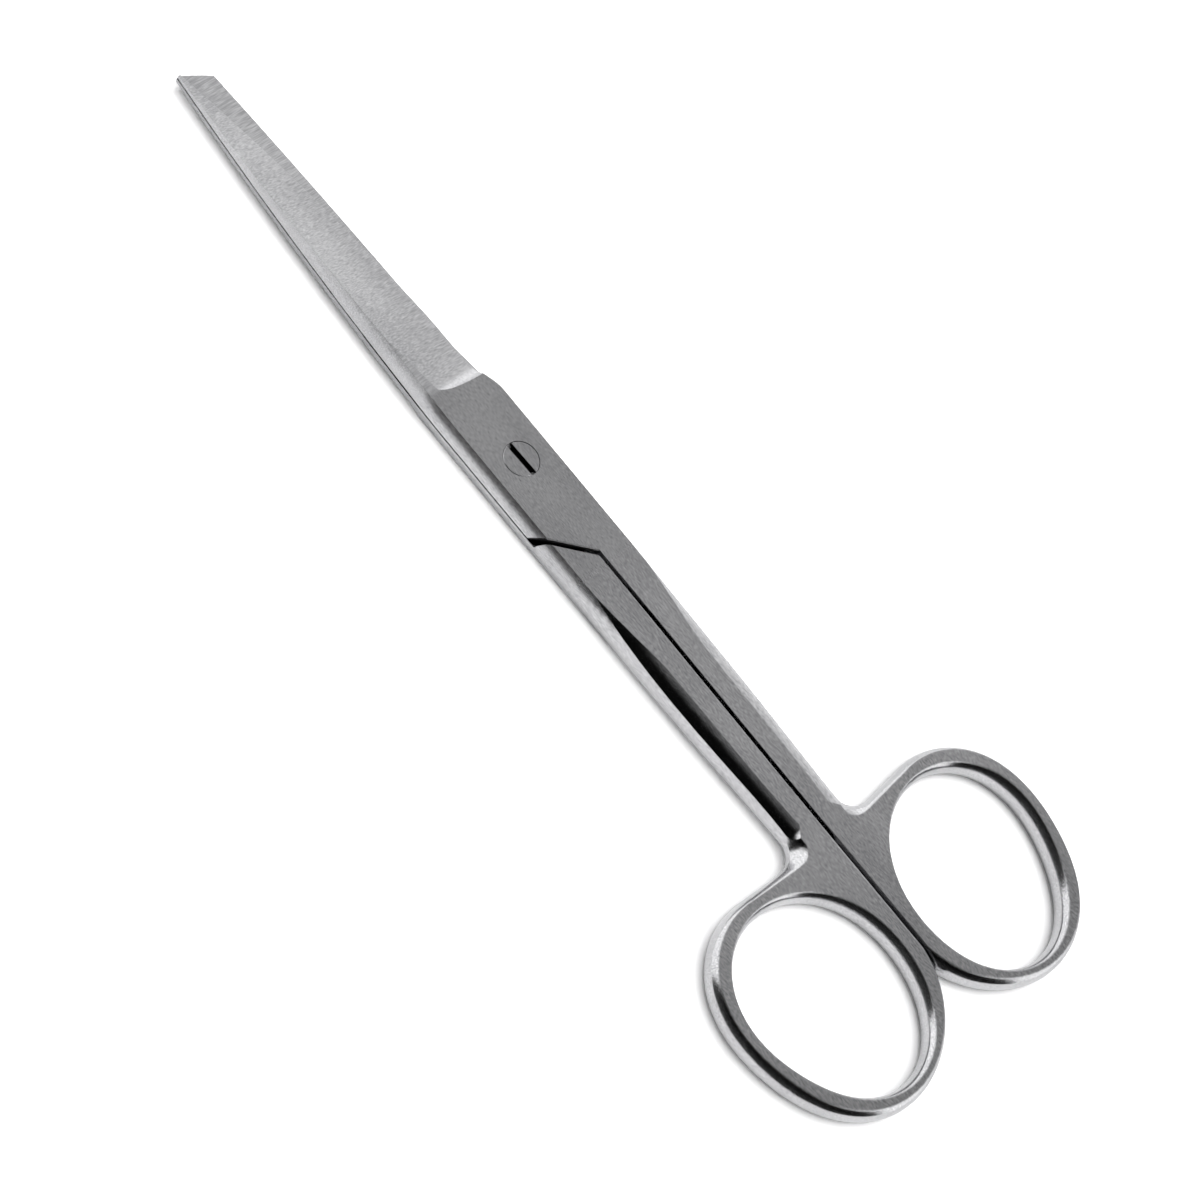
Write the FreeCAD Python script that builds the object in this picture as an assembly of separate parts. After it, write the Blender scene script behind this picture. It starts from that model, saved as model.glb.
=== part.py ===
import FreeCAD, Part
import math
import os

# Straight operating scissors with one sharp and one blunt blade, closed, lying flat.
# The origin is on the pivot axis, in the plane that the scissors rest on.
# X runs towards the tips, Z is up, and the lower half's finger ring is on the +Y side.
# All sizes are in millimetres.

# Pivot box, where the two halves lap over each other
box_thickness = 4.5
box_half_width = 4.95
box_crown = 0.65
box_front = 8.0
lap_gap = 0.04
notch_depth = 13.7
notch_angle = 45.0
notch_lean = 19.0
raised_lean = 10.0
notch_gap = 0.5
notch_edge_break = 0.18
edge_break_lean = 45.0
lap_edge_break = 0.1

# Both blades, measured from the pivot axis
blade_reach = 60.7
blade_root = 12.4
spine_draft = 0.3
bevel_draft = 0.25
bevel_hollow = 0.2

# Sharp blade of the upper half
sharp_root_edge = 3.8
sharp_edge_bow = 1.2
sharp_tip_offset = 1.3
sharp_tip_width = 0.45
sharp_tip_thickness = 0.55
sharp_spine_bow = 0.55

# Blunt blade of the lower half
blunt_root_end = 20.0
blunt_root_spine = 3.95
blunt_tip_spine = 2.6
blunt_spine_bow = 0.2
blunt_edge_proud = 0.08
blunt_tip_thickness = 1.65
blunt_end_setback = 2.0
blunt_end_bulge = 0.25

# Hollow outer faces of the blades, ground by the rim of a wheel
grind_radius = 40.0
grind_tilt = 8.5
grind_runout = 2.7
grind_allowance = 0.08
shoulder = 11.85
shoulder_radius = 1.8

# Shanks, whose upper and lower outer edges are ground round until a throat in front of the ring
seam_gap = 0.54
shank_middle = 35.0
throat_length = 3.7
shank_middle_width = 5.0
shank_ring_width = 4.6
shank_side_radius = 2.35
rounding_start = 15.5
rounding_full = 30.0
rounding_depth = 1.04
rounding_breadth = 1.95
rounding_entry = 8.0
rounding_clear = 0.1
runout_radius = 3.6
runout_turn = 75.0

# Finger rings. An outline has a mean radius, an ovalness and an egg shape, and the ways these two point.
ring_thickness = 3.9
ring_reach = 69.52
ring_spread = 13.24
ring_outline = {"radius": 13.28, "oval": 0.83, "oval_turn": -23.4, "egg": 0.35, "egg_turn": 85.0}
opening_outline = {"radius": 12.0, "oval": 0.97, "oval_turn": -14.7, "egg": 0.22, "egg_turn": 60.0}
ring_outer_crown = 0.75
ring_inner_crown = 0.6
web_lean = 4.0
web_bite = 0.03
web_overlap = 0.6
web_fillet = 3.0

# Pivot screw
head_diameter = 4.55
head_rim = 0.3
head_rim_break = 0.08
head_angle = 90.0
shaft_diameter = 2.5
slot_width = 0.75
slot_depth = 0.7
slot_turn = 1.5
running_clearance = 0.05

half_box = box_thickness / 2
half_ring = ring_thickness / 2
half_seam = seam_gap / 2
half_lap = lap_gap / 2
box_back = notch_depth + half_seam + 2 * (notch_gap + notch_edge_break)
box_side_radius = (half_box ** 2 + box_crown ** 2) / (2 * box_crown)
everywhere = 4 * blade_reach
past_face = 1.0
oval_points_fitted = 24
oval_points_searched = 720
X_AXIS = FreeCAD.Vector(1, 0, 0)
Y_AXIS = FreeCAD.Vector(0, 1, 0)
Z_AXIS = FreeCAD.Vector(0, 0, 1)


def vec(x, y, z=0.0):
    return FreeCAD.Vector(x, y, z)


def line(a, b):
    return Part.LineSegment(a, b).toShape()


def arc(a, middle, b):
    return Part.Arc(a, middle, b).toShape()


def polygon(points):
    return Part.Face(Part.makePolygon(points + points[:1]))


def bow(x, start, end, rise):
    """Height at x of a shallow bow from start to end that rises above its chord."""
    share = (x - start[0]) / (end[0] - start[0])
    chord = start[1] + (end[1] - start[1]) * share
    return chord + rise * 4 * share * (1 - share)


def ease(x, start, end):
    """Smooth step at x between two level stretches."""
    share = min(max((x - start[0]) / (end[0] - start[0]), 0), 1)
    return start[1] + (end[1] - start[1]) * share * share * (3 - 2 * share)


# Each half is first made as the upper one, with the lap plane at z = 0, the blade's spine at +Y
# and the finger ring at -Y. The lower half is then turned over about the X axis.


def sharp_spine(x):
    tip = (blade_reach, sharp_tip_offset + sharp_tip_width / 2)
    return bow(x, (box_front, box_half_width), tip, sharp_spine_bow)


def sharp_edge(x):
    if x < blade_root:
        return -ease(x, (box_front, box_half_width), (blade_root, sharp_root_edge))
    tip = (blade_reach, sharp_tip_offset - sharp_tip_width / 2)
    return bow(x, (blade_root, -sharp_root_edge), tip, -sharp_edge_bow)


def blunt_spine(x):
    if x < blunt_root_end:
        return ease(x, (box_front, box_half_width), (blunt_root_end, blunt_root_spine))
    tip = (blade_reach, blunt_tip_spine)
    return bow(x, (blunt_root_end, blunt_root_spine), tip, blunt_spine_bow)


def blunt_edge(x):
    proud = blunt_edge_proud * ease(x, (box_front, 0), (blade_root, 1))
    return -sharp_spine(x) - proud


def inset(radius, height):
    """How far an arc of this radius has curved in at this height above its outermost point."""
    return radius - math.sqrt(radius ** 2 - height ** 2)


def block(low, high):
    return Part.makeBox(high[0] - low[0], high[1] - low[1], high[2] - low[2], vec(*low))


def lap_section(x, spine, edge, height):
    """Section across a blade: flat lap face below, a crowned spine and a bevelled edge."""
    blade = ease(x, (box_front, 0), (blade_root, 1))
    box_in = inset(box_side_radius, height)
    middle_share = inset(box_side_radius, height / 2) / box_in
    spine_in = box_in + (spine_draft * height - box_in) * blade
    edge_in = box_in + (bevel_draft * height - box_in) * blade
    foot_in = inset(box_side_radius, half_lap) * (1 - blade)
    spine_foot = vec(x, spine - foot_in, half_lap)
    edge_foot = vec(x, edge + foot_in, half_lap)
    spine_top = vec(x, spine - spine_in, height)
    edge_top = vec(x, edge + edge_in, height)
    spine_middle = vec(x, spine - spine_in * middle_share, height / 2)
    edge_middle = vec(x, edge + edge_in * (middle_share + bevel_hollow * blade), height / 2)
    return Part.Wire([line(edge_foot, spine_foot), arc(spine_foot, spine_middle, spine_top),
                      line(spine_top, edge_top), arc(edge_top, edge_middle, edge_foot)])


def box():
    """The whole box joint as one bar with crowned sides."""
    side = box_half_width - box_crown
    low_left = vec(-box_back, -side, -half_box)
    high_left = vec(-box_back, -side, half_box)
    high_right = vec(-box_back, side, half_box)
    low_right = vec(-box_back, side, -half_box)
    wire = Part.Wire([arc(low_left, vec(-box_back, -box_half_width), high_left),
                      line(high_left, high_right),
                      arc(high_right, vec(-box_back, box_half_width), low_right),
                      line(low_right, low_left)])
    return Part.Face(wire).extrude(vec(box_back + box_front, 0))


def ground_taper(tip_spine, tip_thickness):
    """How steeply the ground face falls from the shoulder to the given thickness at the tip."""
    level = half_box + math.tan(math.radians(grind_tilt)) * (tip_spine - grind_runout)
    return (level - tip_thickness) / (blade_reach - shoulder)


def grinding_wheel(taper):
    """A wheel lying along the blade, whose rim leaves a hollow face and a rounded shoulder."""
    tilt = math.radians(grind_tilt)
    along = vec(1, 0, -taper)
    along.normalize()
    rise = vec(0, -math.sin(tilt), math.cos(tilt))
    touch = vec(shoulder, grind_runout, half_box)
    chord = grind_runout + sharp_root_edge
    middle = touch + vec(0, -chord / 2, -chord / 2 * math.tan(tilt))
    sag = chord * chord / (8 * grind_radius)
    centre = middle + rise * (grind_radius - sag)
    wheel = Part.makeCylinder(grind_radius, 2 * blade_reach, centre, along)
    rim = [e for e in wheel.Edges if e.Closed and e.BoundBox.Center.x < blade_reach]
    return wheel.makeFillet(shoulder_radius, rim)


def blade_top(x, spine_y, taper):
    """Height of the blade before grinding: a little above the ground face, at most the box's top."""
    slope = math.tan(math.radians(grind_tilt))
    ground = half_box - taper * (x - shoulder) + slope * (spine_y - grind_runout)
    return min(half_box, ground + grind_allowance)


def spread(start, end, count):
    return [start + (end - start) * step / count for step in range(count + 1)]


def blade(spine, edge, tip_thickness):
    """One blade with its hollow-ground face, above the lap plane."""
    taper = ground_taper(spine(blade_reach), tip_thickness)
    stations = spread(box_front, blade_root, 4) + spread(blade_root, blade_reach, 8)[1:]
    sections = []
    for x in stations:
        sections.append(lap_section(x, spine(x), edge(x), blade_top(x, spine(x), taper)))
    return Part.makeLoft(sections, True, False).cut(grinding_wheel(taper))


def sunk(x):
    """How far the rounding of a shank has come to its full depth, from 0 to 1."""
    share = min((-x - rounding_start) / (rounding_full - rounding_start), 1)
    return share * (2 - share)


def shank_width(x, end):
    if x > -shank_middle:
        return ease(x, (-box_back, box_half_width), (-shank_middle, shank_middle_width))
    return ease(x, (-shank_middle, shank_middle_width), (-end, shank_ring_width))


def shank_half(x, end):
    return ease(x, (-box_back, half_box), (-end, half_ring))


def shank_side(x, height, end):
    """Where a shank's crowned outer side is at this height above its middle."""
    radius = ease(x, (-box_back, box_side_radius), (-end, shank_side_radius))
    return -shank_width(x, end) + inset(radius, height)


def shank_section(x, end):
    """Section across a shank: flat at the seam, top and bottom, with a crowned outer side."""
    half = shank_half(x, end)
    outer = shank_side(x, half, end)
    seam_low = vec(x, -half_seam, -half)
    seam_high = vec(x, -half_seam, half)
    outer_high = vec(x, outer, half)
    outer_low = vec(x, outer, -half)
    return Part.Wire([line(seam_low, seam_high), line(seam_high, outer_high),
                      arc(outer_high, vec(x, -shank_width(x, end)), outer_low),
                      line(outer_low, seam_low)])


def shank(end, ring_front):
    """One shank from the box to its end, and on into the ring with a constant section."""
    body = Part.makeLoft([shank_section(x, end) for x in spread(-box_back, -end, 4)], True, False)
    throat = Part.Face(shank_section(-end, end)).extrude(vec(end - ring_front - web_overlap, 0))
    return body.fuse(throat)


def rounding_section(x, end):
    """Section of what is ground off a shank's upper outer edge: an arc that steepens outwards."""
    entry = math.radians(rounding_entry)
    leaving = 2 * math.atan2(rounding_depth, rounding_breadth) - entry
    radius = rounding_breadth / (math.sin(leaving) - math.sin(entry))
    lift = (rounding_depth + rounding_clear) * (1 - sunk(x))
    height = shank_half(x, end) - rounding_depth + lift
    crease = vec(x, shank_side(x, height, end) - rounding_clear, height)
    centre = crease + vec(0, radius * math.sin(leaving), -radius * math.cos(leaving))
    start = centre + vec(0, 0, radius)
    middle = centre + vec(0, -radius * math.sin(leaving / 2), radius * math.cos(leaving / 2))
    above = rounding_depth
    outer = vec(x, crease.y, start.z + above)
    inner = vec(x, start.y, start.z + above)
    return Part.Wire([arc(start, middle, crease), line(crease, outer), line(outer, inner),
                      line(inner, start)])


def rounding_tool(end):
    """What is ground off along a shank. It sinks in to its full depth and runs out in an arc."""
    sinking = [rounding_section(x, end) for x in spread(-rounding_start, -rounding_full, 2)]
    level = [rounding_section(x, end) for x in spread(-rounding_full, -end, 2)]
    axis_point = vec(-end, 0, half_ring - rounding_depth + runout_radius)
    runout = Part.Face(level[-1]).revolve(axis_point, Y_AXIS, runout_turn)
    return Part.makeLoft(sinking, True, False).fuse([Part.makeLoft(level, True, False), runout])


def oval_points(outline, grow, count):
    """Points round an egg-shaped oval about the origin, grown outwards by an equal amount."""
    points = []
    for angle in spread(0, 360, count)[:-1]:
        oval = outline["oval"] * math.cos(2 * math.radians(angle - outline["oval_turn"]))
        egg = outline["egg"] * math.cos(3 * math.radians(angle - outline["egg_turn"]))
        radius = outline["radius"] + grow + oval + egg
        points.append(vec(radius * math.cos(math.radians(angle)), radius * math.sin(math.radians(angle))))
    return points


def oval_wire(outline, grow, z):
    points = oval_points(outline, grow, oval_points_fitted)
    curve = Part.BSplineCurve()
    curve.interpolate([p + vec(0, 0, z) for p in points], PeriodicFlag=True)
    return Part.Wire([curve.toShape()])


def crowned_oval(outline, crown):
    """An oval plate whose side bulges by the crown at half height."""
    radius = (half_ring ** 2 + crown ** 2) / (2 * abs(crown))
    levels = []
    for share in (-1.0, -0.5, 0.0, 0.5, 1.0):
        bulge = abs(crown) - inset(radius, half_ring * share)
        levels.append(oval_wire(outline, math.copysign(bulge, crown), half_ring * share))
    return Part.makeLoft(levels, True, False)


def web_slab():
    """Plate that joins a ring to its shank, along a tangent to the ring."""
    lean = math.radians(web_lean)
    normal = vec(math.cos(lean), math.sin(lean))
    touch = max(oval_points(ring_outline, -web_bite, oval_points_searched), key=lambda p: p.dot(normal))
    side = touch.dot(normal)
    outer_low = vec(side, 0, -half_ring)
    outer_high = vec(side, 0, half_ring)
    inner_low = vec(0, 0, -half_ring)
    inner_high = vec(0, 0, half_ring)
    crown = arc(outer_low, vec(side + ring_outer_crown, 0), outer_high)
    section = Part.Wire([line(inner_low, outer_low), crown, line(outer_high, inner_high),
                         line(inner_high, inner_low)])
    slab = Part.Face(section).extrude(vec(0, 2 * ring_outline["radius"]))
    slab.translate(vec(0, -touch.x * math.sin(lean) + touch.y * math.cos(lean)))
    slab.rotate(vec(0, 0), Z_AXIS, web_lean)
    return slab


def notch_side(setback, lean, front, side):
    """All space before or behind a slanting notch face; side is 1 above the lap plane, -1 below it."""
    low, high = (0, everywhere) if front else (-everywhere, 0)
    body = block((low, -everywhere, -everywhere), (high, everywhere, everywhere))
    body.rotate(vec(0, 0), Y_AXIS, -lean)
    body.rotate(vec(0, 0), Z_AXIS, -notch_angle)
    shift = setback / math.sin(math.radians(notch_angle))
    body.translate(vec(-notch_depth - shift, 0, half_box))
    if side < 0:
        body.rotate(vec(0, 0), X_AXIS, 180)
    return body


def lap_edge(side):
    """What is broken off along the edge of the lap face at either side of the box."""
    inner = box_half_width - lap_edge_break
    outer = box_half_width + lap_edge_break
    low = half_lap - lap_edge_break
    high = half_lap + 2 * lap_edge_break
    start = -everywhere
    wedge = polygon([vec(start, side * inner, half_lap), vec(start, side * outer, high),
                     vec(start, side * outer, low), vec(start, side * inner, low)])
    return wedge.extrude(vec(2 * everywhere, 0))


def finger_opening():
    """The oval through a ring, with its wall bulging inwards at half height."""
    hole = crowned_oval(opening_outline, -ring_inner_crown)
    for z in (half_ring, -half_ring - past_face):
        end = Part.Face(oval_wire(opening_outline, 0, z))
        hole = hole.fuse(end.extrude(vec(0, 0, past_face)))
    return hole


def handle():
    """Shank, web and ring of one half, full thickness, behind the box."""
    ring_front = ring_reach - ring_outline["radius"]
    shank_end = ring_front - throat_length
    centre = vec(-ring_reach, -ring_spread)
    plate = crowned_oval(ring_outline, ring_outer_crown).fuse(web_slab())
    plate.translate(centre)
    opening = finger_opening()
    opening.translate(centre)
    plate = plate.cut(block((-everywhere, -half_seam, -everywhere), (everywhere, everywhere, everywhere)))
    body = shank(shank_end, ring_front).fuse(plate)
    crotch = vec(-ring_front, -shank_ring_width)
    corners = [e for e in body.Edges if e.BoundBox.ZLength > half_ring]
    corner = min(corners, key=lambda e: (e.BoundBox.Center - crotch).Length)
    body = body.makeFillet(web_fillet, [corner])
    tool = rounding_tool(shank_end)
    body = body.cut([tool, tool.mirror(vec(0, 0), Z_AXIS)])
    return body.cut(opening)


def half(blade_body):
    """One forging: blade, half of the box, shank and ring."""
    own_side = block((-everywhere, -everywhere, -everywhere), (everywhere, -half_seam, everywhere))
    far_side = block((-everywhere, -half_seam, -everywhere), (everywhere, everywhere, everywhere))
    below = block((-everywhere, -everywhere, -everywhere), (everywhere, everywhere, half_lap))
    raised = notch_side(notch_gap, raised_lean, False, -1).common(own_side)
    obtuse_break = notch_side(notch_gap + notch_edge_break, edge_break_lean, True, -1)
    raised = raised.cut(obtuse_break)
    behind = notch_side(0, notch_lean, False, 1).common(far_side)
    acute_break = notch_side(-notch_edge_break, -edge_break_lean, False, 1).common(far_side)
    body = box().cut([below.cut(raised), behind, acute_break]).fuse(blade_body)
    body = body.cut([lap_edge(1), lap_edge(-1).cut(raised)])
    return body.fuse(handle()).removeSplitter()


def countersink(clearance, rim_break):
    """The screw's head and shaft above the lap plane, made larger by the clearance."""
    rim = head_diameter / 2 + clearance
    shaft = shaft_diameter / 2 + clearance
    cone = (rim - shaft) / math.tan(math.radians(head_angle / 2))
    top = half_box - head_rim
    outline = [vec(0, 0, -half_lap), vec(shaft, 0, -half_lap), vec(shaft, 0, top - cone), vec(rim, 0, top),
               vec(rim, 0, half_box - rim_break), vec(rim - rim_break, 0, half_box), vec(0, 0, half_box)]
    return polygon(outline).revolve(vec(0, 0), Z_AXIS, 360)


def upper_half():
    body = half(blade(sharp_spine, sharp_edge, sharp_tip_thickness))
    return body.cut(countersink(running_clearance, 0))


def blunt_end():
    """Everything beyond the blunt blade's oblique, slightly bowed end."""
    spine = blunt_tip_spine + past_face
    edge = sharp_tip_offset + past_face
    slope = blunt_end_setback / (blunt_tip_spine + sharp_tip_offset)
    spine_corner = vec(blade_reach - slope * (spine + sharp_tip_offset), spine, -box_thickness)
    edge_corner = vec(blade_reach + slope * past_face, -edge, -box_thickness)
    middle = (spine_corner + edge_corner) / 2 + vec(blunt_end_bulge, 0)
    far = vec(2 * blade_reach, 0)
    wire = Part.Wire([arc(edge_corner, middle, spine_corner), line(spine_corner, spine_corner + far),
                      line(spine_corner + far, edge_corner + far), line(edge_corner + far, edge_corner)])
    return Part.Face(wire).extrude(vec(0, 0, 2 * box_thickness))


def lower_half():
    blunt = blade(blunt_spine, blunt_edge, blunt_tip_thickness).cut(blunt_end())
    body = half(blunt)
    body = body.cut(Part.makeCylinder(shaft_diameter / 2, box_thickness, vec(0, 0, 0)))
    body.rotate(vec(0, 0), X_AXIS, 180)
    return body


def pivot_screw():
    """Flush slotted screw; its shaft is screwed into the lower half and ground flush below."""
    head = countersink(0, head_rim_break)
    shaft = Part.makeCylinder(shaft_diameter / 2, half_box, vec(0, 0, -half_box))
    slot = block((-head_diameter, -slot_width / 2, half_box - slot_depth),
                 (head_diameter, slot_width / 2, box_thickness))
    slot.rotate(vec(0, 0), Z_AXIS, slot_turn)
    return head.fuse(shaft).cut(slot).removeSplitter()


def write(name, shape):
    shape = shape.copy()
    shape.translate(vec(0, 0, half_box))
    if shape.ShapeType == "Compound" and len(shape.Solids) == 1:
        shape = shape.Solids[0]
    shape.exportStep("parts/" + name + ".step")
    print(name, "solids", len(shape.Solids), "valid", shape.isValid(), "volume", round(shape.Volume, 1))


os.makedirs("parts", exist_ok=True)
write("upper_half", upper_half())
write("lower_half", lower_half())
write("pivot_screw", pivot_screw())
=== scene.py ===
import math

import bmesh
import bpy
from mathutils import Matrix, Vector

# Operating scissors of ground stainless steel, lying closed on a white table.
# Lengths are in metres, in the same frame as the CAD parts, unless a name says millimetres.

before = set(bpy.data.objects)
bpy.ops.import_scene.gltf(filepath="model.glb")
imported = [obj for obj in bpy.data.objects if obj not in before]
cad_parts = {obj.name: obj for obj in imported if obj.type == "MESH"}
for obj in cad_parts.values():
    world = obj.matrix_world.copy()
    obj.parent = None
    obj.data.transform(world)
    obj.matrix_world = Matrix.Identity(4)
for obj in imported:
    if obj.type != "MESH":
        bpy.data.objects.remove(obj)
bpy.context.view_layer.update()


def linearColour(hexColour):
    # an sRGB hex colour as linear red, green, blue and alpha
    parts = [int(hexColour[i:i + 2], 16) / 255 for i in (1, 3, 5)]
    return [p / 12.92 if p <= 0.04045 else ((p + 0.055) / 1.055) ** 2.4 for p in parts] + [1.0]


def addNode(tree, kind, settings=None, inputs=None):
    # adds a shader node; settings are its own values, and inputs are socket values or sockets to link
    node = tree.nodes.new(kind)
    for name, value in (settings or {}).items():
        setattr(node, name, value)
    for name, value in (inputs or {}).items():
        if isinstance(value, bpy.types.NodeSocket):
            tree.links.new(value, node.inputs[name])
        else:
            node.inputs[name].default_value = value
    return node


def setStops(ramp, stops):
    # gives a colour ramp its grey stops, each a position from 0 to 1 and a level
    elements = ramp.color_ramp.elements
    while len(elements) < len(stops):
        elements.new(1.0)
    for element, (position, level) in zip(elements, stops):
        element.position = position
        element.color = (level, level, level, 1.0)


# Satin stainless steel, ground lengthwise on the handles and joint and across on the blades.
# It is a mid grey metal with soft reflections and a fine grain that follows the grinding.
# Places along the object are millimetres from the pivot, negative towards the rings.
steel = {
    "name": "satin_ground_stainless_steel",
    "paleColour": "#F0F0F1",
    "deepColour": "#8A8A8E",
    # the rings and shanks are polished, the joint is satin and the blades are left as ground
    "roughness": [(-85, 0.12), (-22, 0.12), (-15, 0.26), (11.5, 0.26), (13, 0.42), (61, 0.42)],
    "roughnessSpread": 0.05,
    "anisotropy": 0.75,  # reflections spread across the lines of the grinding
    "grainWidthMm": 0.11,  # the real grit leaves lines about 0.02 mm apart, drawn coarser to show
    "grainLengthMm": 0.55,
    "bladeGrainLengthMm": 1.6,
    "grainDetail": 3.0,
    "grainDepthMm": 0.012,
    "grainBump": 0.35,
    "grainContrast": 1.3,  # how far the grain reaches from the deep colour to the pale one
    "cloudMm": 5.0,  # slight unevenness left by grinding by hand
    "cloudDetail": 2.0,
    "cloudContrast": 0.45,
    "cloudStretch": 3.0,  # it is drawn out along the object
    "heightShade": [(0, 1.0), (5, 1.0)],  # painted shade by height: how far the steel is darkened at heights in millimetres, 1 for none
    # Gaps darkened with painted shade: the slanted notch, and the lap at the side of the joint.
    # A point is in a gap where its measure along the direction is within halfMm of middleMm.
    "gaps": [
        {"direction": (1.0, -1.0, 0.487), "middleMm": -11.86, "halfMm": 0.5,
         "limits": [("Y", "GREATER_THAN", -0.1), ("Z", "GREATER_THAN", 2.2), ("Z", "LESS_THAN", 4.36)]},
        {"direction": (0.0, 0.0, 1.0), "middleMm": 2.25, "halfMm": 0.07,
         "limits": [("Y", "GREATER_THAN", 4.5), ("X", "GREATER_THAN", -8.2)]},
    ],
    # painted shade: the base colour in the gaps is multiplied by this
    "gapShade": 0.08,
    "bladeStartMm": 11.5,  # where the lengthwise grinding turns into the blades' own
    "bladeFullMm": 13.0,
    # how far the edges are rubbed round, in millimetres
    "edgeRound": [(-85, 0.3), (-57, 0.3), (-54, 0.12), (-20, 0.12), (-16, 0.02), (61, 0.02)],
    "edgeSamples": 6,
    "footRoundMm": 0.4,  # the lowest edges are rubbed rounder, fully up to the first of these heights
    "footMm": (0.4, 0.9),
    "middleMm": 2.25,  # height of the middle plane, about which the sides are polished rounder
    # stretches with rounder sides, the rings and the joint: each from, to, half thickness and curve
    "polished": [(-200, -57, 1.95, 0.09), (-22, 10, 2.25, 0.05)],
    "polishFadeMm": 3.0,
}
perMm = 1000.0  # millimetres in a metre


def makeSteel(steel):
    material = bpy.data.materials.new(steel["name"])
    material.use_nodes = True
    tree = material.node_tree
    tree.nodes.clear()
    place = addNode(tree, "ShaderNodeTexCoord").outputs["Object"]
    axes = addNode(tree, "ShaderNodeSeparateXYZ", {}, {"Vector": place})
    onBlade = addNode(tree, "ShaderNodeMapRange", {}, {
        "Value": axes.outputs["X"], "From Min": steel["bladeStartMm"] / perMm,
        "From Max": steel["bladeFullMm"] / perMm})

    # grain and clouds, and the colour that they make
    across = perMm / steel["grainWidthMm"]
    along = perMm / steel["grainLengthMm"]
    bladeAlong = perMm / steel["bladeGrainLengthMm"]
    handleLines = addNode(tree, "ShaderNodeMapping", {}, {
        "Vector": place, "Scale": (along, across, across)})
    bladeLines = addNode(tree, "ShaderNodeMapping", {}, {
        "Vector": place, "Scale": (across, bladeAlong, across)})
    handleGrain = addNode(tree, "ShaderNodeTexNoise", {}, {
        "Vector": handleLines.outputs["Vector"], "Scale": 1.0, "Detail": steel["grainDetail"]})
    bladeGrain = addNode(tree, "ShaderNodeTexNoise", {}, {
        "Vector": bladeLines.outputs["Vector"], "Scale": 1.0, "Detail": steel["grainDetail"]})
    grain = addNode(tree, "ShaderNodeMix", {}, {
        "Factor": onBlade.outputs["Result"], "A": handleGrain.outputs["Fac"],
        "B": bladeGrain.outputs["Fac"]})
    clouds = addNode(tree, "ShaderNodeMapping", {}, {
        "Vector": place, "Scale": (1 / steel["cloudStretch"], 1.0, 1.0)})
    cloud = addNode(tree, "ShaderNodeTexNoise", {}, {
        "Vector": clouds.outputs["Vector"], "Scale": perMm / steel["cloudMm"],
        "Detail": steel["cloudDetail"]})
    # both noises are about one half, which this turns into one half of the way between the colours
    middle = 0.5 * (1 - steel["cloudContrast"] - steel["grainContrast"])
    tone = addNode(tree, "ShaderNodeMath", {"operation": "MULTIPLY_ADD"}, {
        0: cloud.outputs["Fac"], 1: steel["cloudContrast"], 2: middle})
    shade = addNode(tree, "ShaderNodeMath", {"operation": "MULTIPLY_ADD", "use_clamp": True}, {
        0: grain.outputs["Result"], 1: steel["grainContrast"], 2: tone.outputs["Value"]})
    colour = addNode(tree, "ShaderNodeMix", {"data_type": "RGBA"}, {
        "Factor": shade.outputs["Value"], 6: linearColour(steel["deepColour"]),
        7: linearColour(steel["paleColour"])})

    # what changes along the object, or with the height
    levels = {}
    for name, axis in (("roughness", "X"), ("edgeRound", "X"), ("heightShade", "Z")):
        firstMm, lastMm = steel[name][0][0], steel[name][-1][0]
        station = addNode(tree, "ShaderNodeMapRange", {}, {
            "Value": axes.outputs[axis], "From Min": firstMm / perMm, "From Max": lastMm / perMm})
        levels[name] = addNode(tree, "ShaderNodeValToRGB", {}, {"Fac": station.outputs["Result"]})
        setStops(levels[name], [((mm - firstMm) / (lastMm - firstMm), level) for mm, level in steel[name]])
    rough = addNode(tree, "ShaderNodeMath", {"operation": "MULTIPLY_ADD"}, {
        0: grain.outputs["Result"], 1: steel["roughnessSpread"], 2: levels["roughness"].outputs["Color"]})

    # painted shade darkens the base colour, by height and in the gaps
    paintedShade = addNode(tree, "ShaderNodeMix", {"data_type": "RGBA", "blend_type": "MULTIPLY"}, {
        "Factor": 1.0, 6: colour.outputs[2], 7: levels["heightShade"].outputs["Color"]})
    for gap in steel["gaps"]:
        measure = addNode(tree, "ShaderNodeVectorMath", {"operation": "DOT_PRODUCT"}, {
            0: place, 1: gap["direction"]})
        inside = addNode(tree, "ShaderNodeMath", {"operation": "COMPARE"}, {
            0: measure.outputs["Value"], 1: gap["middleMm"] / perMm, 2: gap["halfMm"] / perMm})
        for axis, operation, limitMm in gap["limits"]:
            limit = addNode(tree, "ShaderNodeMath", {"operation": operation}, {
                0: axes.outputs[axis], 1: limitMm / perMm})
            inside = addNode(tree, "ShaderNodeMath", {"operation": "MULTIPLY"}, {
                0: inside.outputs["Value"], 1: limit.outputs["Value"]})
        paintedShade = addNode(tree, "ShaderNodeMix", {"data_type": "RGBA", "blend_type": "MULTIPLY"}, {
            "Factor": inside.outputs["Value"], 6: paintedShade.outputs[2], 7: [steel["gapShade"]] * 3 + [1.0]})

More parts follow.
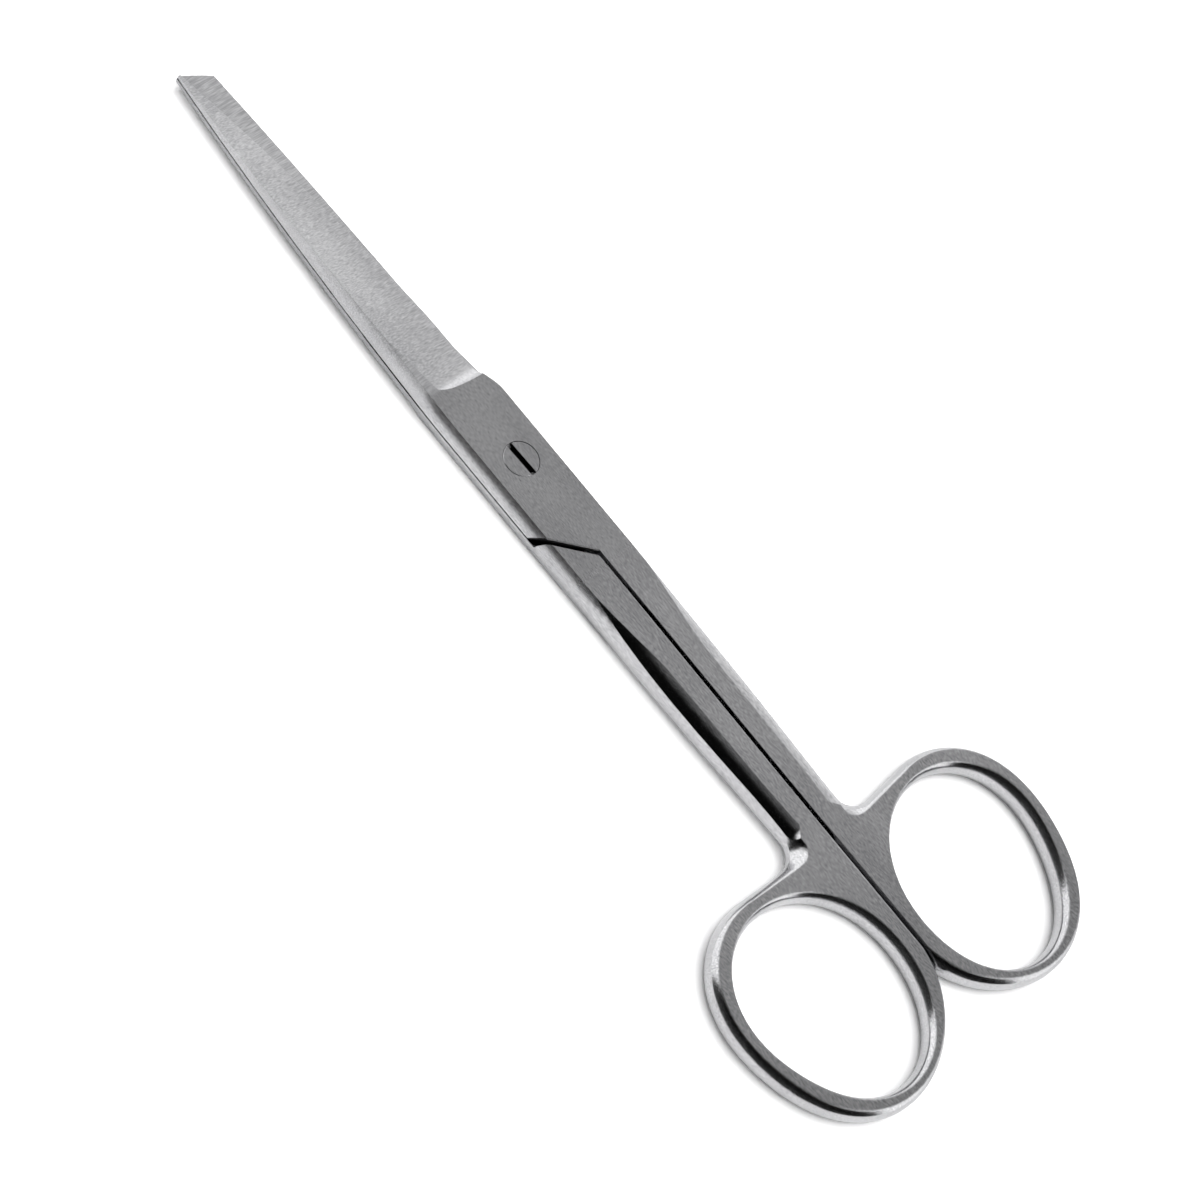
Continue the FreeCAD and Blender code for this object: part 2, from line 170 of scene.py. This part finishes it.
    # rubbed edges, then the rounder sides
    foot = addNode(tree, "ShaderNodeMapRange", {}, {
        "Value": axes.outputs["Z"], "From Min": steel["footMm"][0] / perMm,
        "From Max": steel["footMm"][1] / perMm, "To Min": steel["footRoundMm"] / perMm, "To Max": 0.0})
    radius = addNode(tree, "ShaderNodeMath", {"operation": "MULTIPLY_ADD"}, {
        0: levels["edgeRound"].outputs["Color"], 1: 1 / perMm, 2: foot.outputs["Result"]})
    edges = addNode(tree, "ShaderNodeBevel", {"samples": steel["edgeSamples"]}, {
        "Radius": radius.outputs["Value"]})
    height = addNode(tree, "ShaderNodeMath", {"operation": "MULTIPLY_ADD"}, {
        0: axes.outputs["Z"], 1: perMm, 2: -steel["middleMm"]})
    squared = addNode(tree, "ShaderNodeMath", {"operation": "MULTIPLY"}, {
        0: height.outputs["Value"], 1: height.outputs["Value"]})
    normal = edges.outputs["Normal"]
    fade = steel["polishFadeMm"]
    for start, end, halfMm, curve in steel["polished"]:
        crown = addNode(tree, "ShaderNodeMath", {"operation": "MULTIPLY_ADD"}, {
            0: squared.outputs["Value"], 1: -curve, 2: curve * halfMm ** 2})
        above = addNode(tree, "ShaderNodeMath", {"operation": "MAXIMUM"}, {
            0: crown.outputs["Value"], 1: 0.0})
        rising = addNode(tree, "ShaderNodeMapRange", {}, {
            "Value": axes.outputs["X"], "From Min": (start - fade) / perMm, "From Max": start / perMm})
        falling = addNode(tree, "ShaderNodeMapRange", {}, {
            "Value": axes.outputs["X"], "From Min": end / perMm, "From Max": (end + fade) / perMm,
            "To Min": 1.0, "To Max": 0.0})
        there = addNode(tree, "ShaderNodeMath", {"operation": "MULTIPLY"}, {
            0: rising.outputs["Result"], 1: falling.outputs["Result"]})
        proud = addNode(tree, "ShaderNodeMath", {"operation": "MULTIPLY"}, {
            0: above.outputs["Value"], 1: there.outputs["Value"]})
        polish = addNode(tree, "ShaderNodeBump", {}, {
            "Height": proud.outputs["Value"], "Strength": 1.0, "Distance": 1 / perMm, "Normal": normal})
        normal = polish.outputs["Normal"]
    bump = addNode(tree, "ShaderNodeBump", {}, {
        "Height": grain.outputs["Result"], "Strength": steel["grainBump"],
        "Distance": steel["grainDepthMm"] / perMm, "Normal": normal})

    # reflections spread along Y on the handles and along X on the blades
    spread = addNode(tree, "ShaderNodeMix", {"data_type": "VECTOR"}, {
        0: onBlade.outputs["Result"], 4: (0.0, 1.0, 0.0), 5: (1.0, 0.0, 0.0)})
    turned = addNode(tree, "ShaderNodeVectorTransform", {
        "vector_type": "VECTOR", "convert_from": "OBJECT", "convert_to": "WORLD"}, {
        "Vector": spread.outputs[1]})
    shader = addNode(tree, "ShaderNodeBsdfPrincipled", {}, {
        "Base Color": paintedShade.outputs[2], "Roughness": rough.outputs["Value"],
        "Normal": bump.outputs["Normal"], "Tangent": turned.outputs["Vector"],
        "Anisotropic": steel["anisotropy"], "Metallic": 1.0})
    addNode(tree, "ShaderNodeOutputMaterial", {}, {"Surface": shader.outputs["BSDF"]})
    return material


def dressNode(nodeName, material):
    # puts the material in every slot of a piece
    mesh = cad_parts[nodeName].data
    if not mesh.materials:
        mesh.materials.append(material)
    for index in range(len(mesh.materials)):
        mesh.materials[index] = material


print("steel of the halves and the screw")
dressNode("upper_half", makeSteel(steel))
dressNode("lower_half", makeSteel(steel))
# the screw is of the same steel, with sharp edges and painted shade darkening its slot
screwSteel = dict(steel, name="ground_stainless_screw_steel", cloudMm=4.0, polished=[], gaps=[],
                  edgeRound=[(-85, 0.02), (61, 0.02)],
                  heightShade=[(0, 1.0), (2.5, 1.0), (3.0, 0.06), (4.36, 0.06), (4.46, 1.0), (5, 1.0)])
dressNode("pivot_screw", makeSteel(screwSteel))

# The table is matt white. The camera sees it a little overexposed, so that only the shadow close to
# the steel shows, as in a photograph on a white ground.
table = {"name": "matt_white_table", "halfSize": 1.5, "colour": "#FAFAFA", "cameraGain": 1.4}


def makeTable(table):
    shape = bmesh.new()
    bmesh.ops.create_grid(shape, x_segments=1, y_segments=1, size=table["halfSize"])
    mesh = bpy.data.meshes.new(table["name"])
    shape.to_mesh(mesh)
    shape.free()
    top = bpy.data.objects.new(table["name"], mesh)
    bpy.context.scene.collection.objects.link(top)
    material = bpy.data.materials.new(table["name"])
    material.use_nodes = True
    tree = material.node_tree
    tree.nodes.clear()
    path = addNode(tree, "ShaderNodeLightPath")
    plain = linearColour(table["colour"])
    seen = [part * table["cameraGain"] for part in plain[:3]] + [1.0]
    colour = addNode(tree, "ShaderNodeMix", {"data_type": "RGBA"}, {
        "Factor": path.outputs["Is Camera Ray"], 6: plain, 7: seen})
    shader = addNode(tree, "ShaderNodeBsdfDiffuse", {}, {"Color": colour.outputs[2]})
    addNode(tree, "ShaderNodeOutputMaterial", {}, {"Surface": shader.outputs["BSDF"]})
    mesh.materials.append(material)


# What the steel mirrors: a white wall behind the object, a duller ceiling, a black screen on the
# camera's side that gets a little lighter near the floor, and a bright lamp beyond each end.
room = {
    # level of the room at angles in degrees from straight up towards +Y
    "arc": [(-130, 0.9), (-90, 0.95), (-65, 0.85), (-50, 0.62), (-40, 0.46), (-30, 0.42), (-18, 0.34),
            (-6, 0.17), (6, 0.04), (16, 0.003), (50, 0.003), (72, 0.05), (110, 0.07)],
    "lampLevel": 1.4,
    "lampFrom": 0.26,  # the share of the way along X at which a lamp starts
    "lampFull": 0.62,
    "screenFrom": 0.2,  # the share of the way towards +Y at which the screen starts to hide the lamps
    "screenFull": 0.36,
    "screenTurn": 0.34,  # the screen stands a little nearer at the rings' end
    "dullEnd": 0.6,  # the ceiling is duller above the finger rings
    "dullFrom": -0.02,
    "dullFull": -0.12,
}
# What lights the table: a glow from all round, and a broad lamp overhead.
tableLight = {"glow": 0.06, "lamp": 3.7, "towards": (-0.1, 0.0, 1.0), "sharpness": 5.0}


def makeWorld(room, tableLight):
    world = bpy.data.worlds.new("studio")
    bpy.context.scene.world = world
    world.use_nodes = True
    # without sampling the steel mirrors the room alone, and not the light meant for the table
    world.cycles.sampling_method = "NONE"
    tree = world.node_tree
    tree.nodes.clear()
    direction = addNode(tree, "ShaderNodeTexCoord").outputs["Generated"]
    axes = addNode(tree, "ShaderNodeSeparateXYZ", {}, {"Vector": direction})
    angle = addNode(tree, "ShaderNodeMath", {"operation": "ARCTAN2"}, {
        0: axes.outputs["Y"], 1: axes.outputs["Z"]})
    first, last = room["arc"][0][0], room["arc"][-1][0]
    share = addNode(tree, "ShaderNodeMapRange", {}, {
        "Value": angle.outputs["Value"], "From Min": math.radians(first), "From Max": math.radians(last)})
    arc = addNode(tree, "ShaderNodeValToRGB", {}, {"Fac": share.outputs["Result"]})
    setStops(arc, [((degrees - first) / (last - first), level) for degrees, level in room["arc"]])
    sideways = addNode(tree, "ShaderNodeMath", {"operation": "ABSOLUTE"}, {0: axes.outputs["X"]})
    onLamp = addNode(tree, "ShaderNodeMapRange", {"interpolation_type": "SMOOTHSTEP"}, {
        "Value": sideways.outputs["Value"], "From Min": room["lampFrom"], "From Max": room["lampFull"]})
    behind = addNode(tree, "ShaderNodeMath", {"operation": "MULTIPLY_ADD"}, {
        0: axes.outputs["X"], 1: -room["screenTurn"], 2: axes.outputs["Y"]})
    unscreened = addNode(tree, "ShaderNodeMapRange", {"interpolation_type": "SMOOTHSTEP"}, {
        "Value": behind.outputs["Value"], "From Min": room["screenFrom"], "From Max": room["screenFull"],
        "To Min": 1.0, "To Max": 0.0})
    lampShare = addNode(tree, "ShaderNodeMath", {"operation": "MULTIPLY"}, {
        0: onLamp.outputs["Result"], 1: unscreened.outputs["Result"]})
    dull = addNode(tree, "ShaderNodeMapRange", {}, {
        "Value": axes.outputs["X"], "From Min": room["dullFull"], "From Max": room["dullFrom"],
        "To Min": room["dullEnd"], "To Max": 1.0})
    surround = addNode(tree, "ShaderNodeMath", {"operation": "MULTIPLY"}, {
        0: arc.outputs["Color"], 1: dull.outputs["Result"]})
    level = addNode(tree, "ShaderNodeMix", {}, {
        "Factor": lampShare.outputs["Value"], "A": surround.outputs["Value"], "B": room["lampLevel"]})
    mirrored = addNode(tree, "ShaderNodeBackground", {}, {
        "Color": linearColour("#FFFFFF"), "Strength": level.outputs["Result"]})
    facing = addNode(tree, "ShaderNodeVectorMath", {"operation": "DOT_PRODUCT"}, {
        0: direction, 1: Vector(tableLight["towards"]).normalized()})
    front = addNode(tree, "ShaderNodeMath", {"operation": "MAXIMUM"}, {0: facing.outputs["Value"], 1: 0.0})
    lobe = addNode(tree, "ShaderNodeMath", {"operation": "POWER"}, {
        0: front.outputs["Value"], 1: tableLight["sharpness"]})
    glow = addNode(tree, "ShaderNodeMath", {"operation": "MULTIPLY_ADD"}, {
        0: lobe.outputs["Value"], 1: tableLight["lamp"], 2: tableLight["glow"]})
    soft = addNode(tree, "ShaderNodeBackground", {}, {
        "Color": linearColour("#FFFFFF"), "Strength": glow.outputs["Value"]})
    white = addNode(tree, "ShaderNodeBackground", {}, {"Color": linearColour("#FFFFFF"), "Strength": 1.0})
    path = addNode(tree, "ShaderNodeLightPath")
    lit = addNode(tree, "ShaderNodeMixShader", {}, {
        0: path.outputs["Is Glossy Ray"], 1: soft.outputs["Background"], 2: mirrored.outputs["Background"]})
    shown = addNode(tree, "ShaderNodeMixShader", {}, {
        0: path.outputs["Is Camera Ray"], 1: lit.outputs["Shader"], 2: white.outputs["Background"]})
    addNode(tree, "ShaderNodeOutputWorld", {}, {"Surface": shown.outputs["Shader"]})


print("table and light")
makeTable(table)
makeWorld(room, tableLight)

# The photograph's own view, for a square picture of 1200 pixels. Angles are in degrees.
viewer = {
    "name": "photograph_view",
    "target": Vector((-0.01853, 0.00410, 0.0045)),
    "distance": 0.35875,
    "azimuth": -8.90,
    "elevation": 56.26,
    "roll": 42.91,
    "focalPixels": 3150.3,
    "picturePixels": 1200,
    "sensorMm": 36.0,
    "clipStart": 0.01,
    "clipEnd": 20,
}


def makeCamera(viewer):
    azimuth, elevation, roll = (math.radians(viewer[name]) for name in ("azimuth", "elevation", "roll"))
    back = Vector((math.sin(azimuth) * math.cos(elevation), math.cos(azimuth) * math.cos(elevation),
                   math.sin(elevation)))
    level = Vector((0, 0, 1)).cross(back).normalized()
    rise = back.cross(level)
    right = level * math.cos(roll) + rise * math.sin(roll)
    up = rise * math.cos(roll) - level * math.sin(roll)
    lens = bpy.data.cameras.new(viewer["name"])
    lens.sensor_width = viewer["sensorMm"]
    lens.lens = viewer["focalPixels"] / viewer["picturePixels"] * viewer["sensorMm"]
    lens.clip_start = viewer["clipStart"]
    lens.clip_end = viewer["clipEnd"]
    camera = bpy.data.objects.new(viewer["name"], lens)
    bpy.context.scene.collection.objects.link(camera)
    turn = Matrix((right, up, back)).transposed().to_4x4()
    camera.matrix_world = Matrix.Translation(viewer["target"] + back * viewer["distance"]) @ turn
    bpy.context.scene.camera = camera


print("camera")
makeCamera(viewer)
bpy.context.scene.view_settings.view_transform = "Standard"
